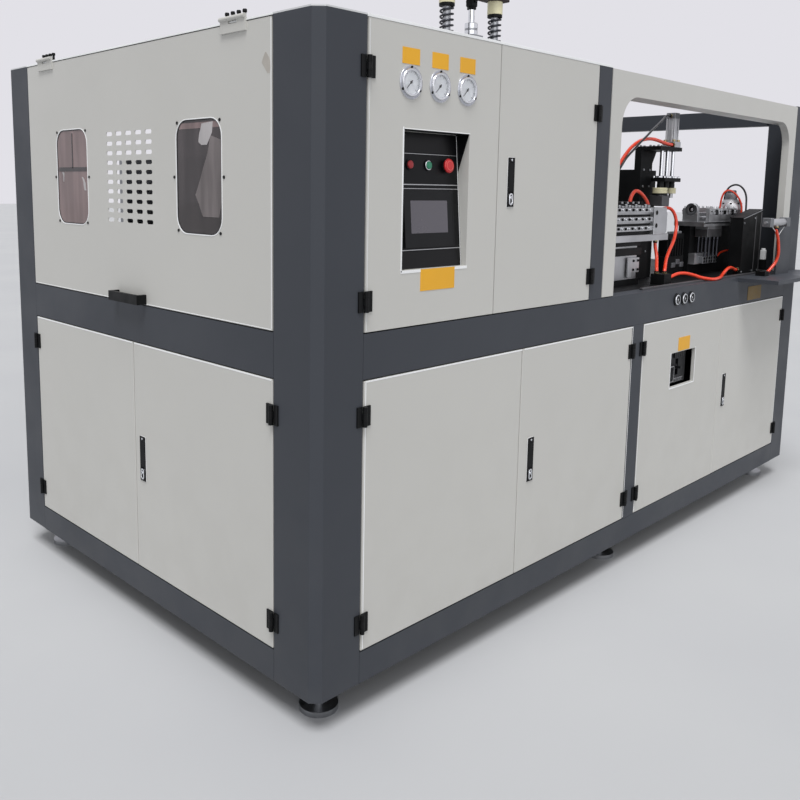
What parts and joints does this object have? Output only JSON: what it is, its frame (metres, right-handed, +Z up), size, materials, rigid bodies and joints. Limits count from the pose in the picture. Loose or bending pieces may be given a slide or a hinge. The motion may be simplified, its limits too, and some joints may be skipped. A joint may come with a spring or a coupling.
{
  "type": "stretch blow moulding machine",
  "caption": "Floor standing stretch blow moulding machine: painted steel frame, hinged doors, control recess with gauges, big window and a sprung stretch unit on the roof.",
  "frame": {"origin": "centre of the bounding box, on the floor under the feet", "axes": "+X along the machine from the flap end to the open end, +Y from the front with the doors to the rear, +Z up"},
  "size_m": [3.234, 1.954, 2.146],
  "materials": {
    "frame_paint": "satin powder coat",
    "panel_paint": "fine textured powder coat",
    "black_metal": "satin",
    "black_plastic": "matte",
    "machined_steel": "ground",
    "chromed_steel": "polished",
    "light_alloy": "machined",
    "smoked_pane": "smoked",
    "red_plastic": "gloss",
    "green_plastic": "gloss",
    "yellow_plastic": "satin",
    "screen_plastic": "satin",
    "hose_rubber": "satin",
    "spring_steel": "oiled"
  },
  "bodies": {
    "frame": {"posts": "frame_paint", "frame_rails": "frame_paint", "levelling_feet": "machined_steel", "bed_plate": "black_metal", "roof_plate": "frame_paint", "hinge_mounts": "black_metal", "window_panel": "panel_paint", "cladding_panels": "panel_paint", "electrics": "black_plastic", "shelf": "frame_paint", "shelf_cylinder": "light_alloy", "stretch_base": "machined_steel", "stretch_springs": "spring_steel", "clamp_frame": "machined_steel", "transfer_brackets": "black_metal", "transfer_plates": "light_alloy", "heating_station": "light_alloy", "air_hoses": "hose_rubber"},
    "end_flap": {"end_flap": "panel_paint", "flap_panes": "smoked_pane", "flap_fittings": "black_metal"},
    "upper_left_door": {"upper_door_left": "panel_paint", "upper_door_left_hinges": "black_metal", "control_plate": "black_plastic", "touch_screen": "screen_plastic", "gauge_bodies": "machined_steel", "yellow_plates": "yellow_plastic"},
    "red_button": {"red_button": "red_plastic"},
    "green_button": {"green_button": "green_plastic"},
    "emergency_stop": {"emergency_stop": "red_plastic"},
    "needle_1": {"gauge_needle_1": "black_plastic"},
    "needle_2": {"gauge_needle_2": "black_plastic"},
    "needle_3": {"gauge_needle_3": "black_plastic"},
    "upper_right_door": {"upper_door_right": "panel_paint", "upper_door_right_fittings": "black_metal"},
    "upper_lever": {"upper_lock_lever": "black_metal"},
    "lower_door_1": {"lower_door_1": "panel_paint", "lower_door_1_hinges": "black_metal"},
    "lower_door_2": {"lower_door_2": "panel_paint", "lower_door_2_fittings": "black_metal"},
    "lower_lever_2": {"lower_door_2_lever": "black_metal"},
    "lower_door_3": {"lower_door_3": "panel_paint", "lower_door_3_hinges": "black_metal"},
    "lower_door_4": {"lower_door_4": "panel_paint", "lower_door_4_fittings": "black_metal"},
    "lower_lever_4": {"lower_door_4_lever": "black_metal"},
    "end_left_door": {"end_door_left": "panel_paint", "end_door_left_hinges": "black_metal"},
    "end_right_door": {"end_door_right": "panel_paint", "end_door_right_fittings": "black_metal"},
    "end_lever": {"end_door_lever": "black_metal"},
    "switch_lever": {"main_switch_lever": "black_plastic"},
    "rail_button_1": {"rail_button_1": "chromed_steel"},
    "rail_button_2": {"rail_button_2": "black_plastic"},
    "rail_button_3": {"rail_button_3": "chromed_steel"},
    "stretch_plate": {"stretch_plate": "black_metal"},
    "moving_platen": {"moving_platen": "machined_steel"},
    "transfer_lift": {"transfer_lift": "machined_steel"},
    "front_jaw": {"gripper_front": "light_alloy"},
    "rear_jaw": {"gripper_rear": "light_alloy"}
  },
  "joints": [
    {"name": "upper_left_door_hinge", "type": "hinge", "parent": "frame", "child": "upper_left_door", "pos_m": [-1.421, -0.81, 1.46], "axis": [0, 0, -1], "range_deg": [0, 110]},
    {"name": "upper_right_door_hinge", "type": "hinge", "parent": "frame", "child": "upper_right_door", "pos_m": [-0.345, -0.81, 1.46], "axis": [0, 0, 1], "range_deg": [0, 110]},
    {"name": "lower_door_1_hinge", "type": "hinge", "parent": "frame", "child": "lower_door_1", "pos_m": [-1.421, -0.81, 0.567], "axis": [0, 0, -1], "range_deg": [0, 110]},
    {"name": "lower_door_2_hinge", "type": "hinge", "parent": "frame", "child": "lower_door_2", "pos_m": [-0.025, -0.81, 0.567], "axis": [0, 0, 1], "range_deg": [0, 90]},
    {"name": "lower_door_3_hinge", "type": "hinge", "parent": "frame", "child": "lower_door_3", "pos_m": [0.059, -0.81, 0.567], "axis": [0, 0, -1], "range_deg": [0, 90]},
    {"name": "lower_door_4_hinge", "type": "hinge", "parent": "frame", "child": "lower_door_4", "pos_m": [1.455, -0.81, 0.567], "axis": [0, 0, 1], "range_deg": [0, 110]},
    {"name": "end_left_door_hinge", "type": "hinge", "parent": "frame", "child": "end_left_door", "pos_m": [-1.59, 0.805, 0.567], "axis": [0, 0, -1], "range_deg": [0, 110]},
    {"name": "end_right_door_hinge", "type": "hinge", "parent": "frame", "child": "end_right_door", "pos_m": [-1.59, -0.631, 0.567], "axis": [0, 0, 1], "range_deg": [0, 110]},
    {"name": "end_flap_hinge", "type": "hinge", "parent": "frame", "child": "end_flap", "pos_m": [-1.5895, 0.087, 1.866], "axis": [0, 1, 0], "range_deg": [0, 80]},
    {"name": "upper_lever_pivot", "type": "hinge", "parent": "upper_right_door", "child": "upper_lever", "pos_m": [-0.819, -0.803, 1.5145], "axis": [-1, 0, 0], "range_deg": [0, 60]},
    {"name": "lower_lever_2_pivot", "type": "hinge", "parent": "lower_door_2", "child": "lower_lever_2", "pos_m": [-0.659, -0.803, 0.6215], "axis": [-1, 0, 0], "range_deg": [0, 60]},
    {"name": "lower_lever_4_pivot", "type": "hinge", "parent": "lower_door_4", "child": "lower_lever_4", "pos_m": [0.821, -0.803, 0.6215], "axis": [-1, 0, 0], "range_deg": [0, 60]},
    {"name": "end_lever_pivot", "type": "hinge", "parent": "end_right_door", "child": "end_lever", "pos_m": [-1.583, 0.039, 0.6215], "axis": [0, 1, 0], "range_deg": [0, 60]},
    {"name": "red_button_press", "type": "slide", "parent": "upper_left_door", "child": "red_button", "axis": [0, 0.9967, -0.0808], "range_m": [0, 0.0025], "stiffness_N_per_m": 600, "springref_m": -0.003},
    {"name": "green_button_press", "type": "slide", "parent": "upper_left_door", "child": "green_button", "axis": [0, 0.9967, -0.0808], "range_m": [0, 0.0025], "stiffness_N_per_m": 600, "springref_m": -0.003},
    {"name": "emergency_stop_press", "type": "slide", "parent": "upper_left_door", "child": "emergency_stop", "axis": [0, 0.9967, -0.0808], "range_m": [0, 0.0025], "stiffness_N_per_m": 600, "springref_m": -0.003},
    {"name": "rail_button_1_press", "type": "slide", "parent": "frame", "child": "rail_button_1", "axis": [0, 1, 0], "range_m": [0, 0.0025], "stiffness_N_per_m": 600, "springref_m": -0.003},
    {"name": "rail_button_2_press", "type": "slide", "parent": "frame", "child": "rail_button_2", "axis": [0, 1, 0], "range_m": [0, 0.0025], "stiffness_N_per_m": 600, "springref_m": -0.003},
    {"name": "rail_button_3_press", "type": "slide", "parent": "frame", "child": "rail_button_3", "axis": [0, 1, 0], "range_m": [0, 0.0025], "stiffness_N_per_m": 600, "springref_m": -0.003},
    {"name": "needle_1_spindle", "type": "hinge", "parent": "upper_left_door", "child": "needle_1", "pos_m": [-1.265, -0.803, 1.71], "axis": [0, 1, 0], "range_deg": [0, 270]},
    {"name": "needle_2_spindle", "type": "hinge", "parent": "upper_left_door", "child": "needle_2", "pos_m": [-1.15, -0.803, 1.71], "axis": [0, 1, 0], "range_deg": [0, 270]},
    {"name": "needle_3_spindle", "type": "hinge", "parent": "upper_left_door", "child": "needle_3", "pos_m": [-1.035, -0.803, 1.71], "axis": [0, 1, 0], "range_deg": [0, 270]},
    {"name": "switch_lever_pivot", "type": "hinge", "parent": "frame", "child": "switch_lever", "pos_m": [0.407, -0.763, 0.7255], "axis": [1, 0, 0], "range_deg": [-40, 40]},
    {"name": "stretch_plate_slide", "type": "slide", "parent": "frame", "child": "stretch_plate", "axis": [0, 0, -1], "range_m": [0, 0.045], "stiffness_N_per_m": 8000, "springref_m": -0.05, "deforming": ["stretch_springs"]},
    {"name": "moving_platen_slide", "type": "slide", "parent": "frame", "child": "moving_platen", "axis": [0, 1, 0], "range_m": [0, 0.13]},
    {"name": "transfer_lift_slide", "type": "slide", "parent": "frame", "child": "transfer_lift", "axis": [0, 0, 1], "range_m": [0, 0.06]},
    {"name": "front_jaw_slide", "type": "slide", "parent": "frame", "child": "front_jaw", "axis": [0, 1, 0], "range_m": [0, 0.025]},
    {"name": "rear_jaw_slide", "type": "slide", "parent": "frame", "child": "rear_jaw", "axis": [0, -1, 0], "range_m": [0, 0.025]}
  ],
  "couplings": [
    {"joint": "rear_jaw_slide", "follows": "front_jaw_slide", "ratio": 1}
  ]
}
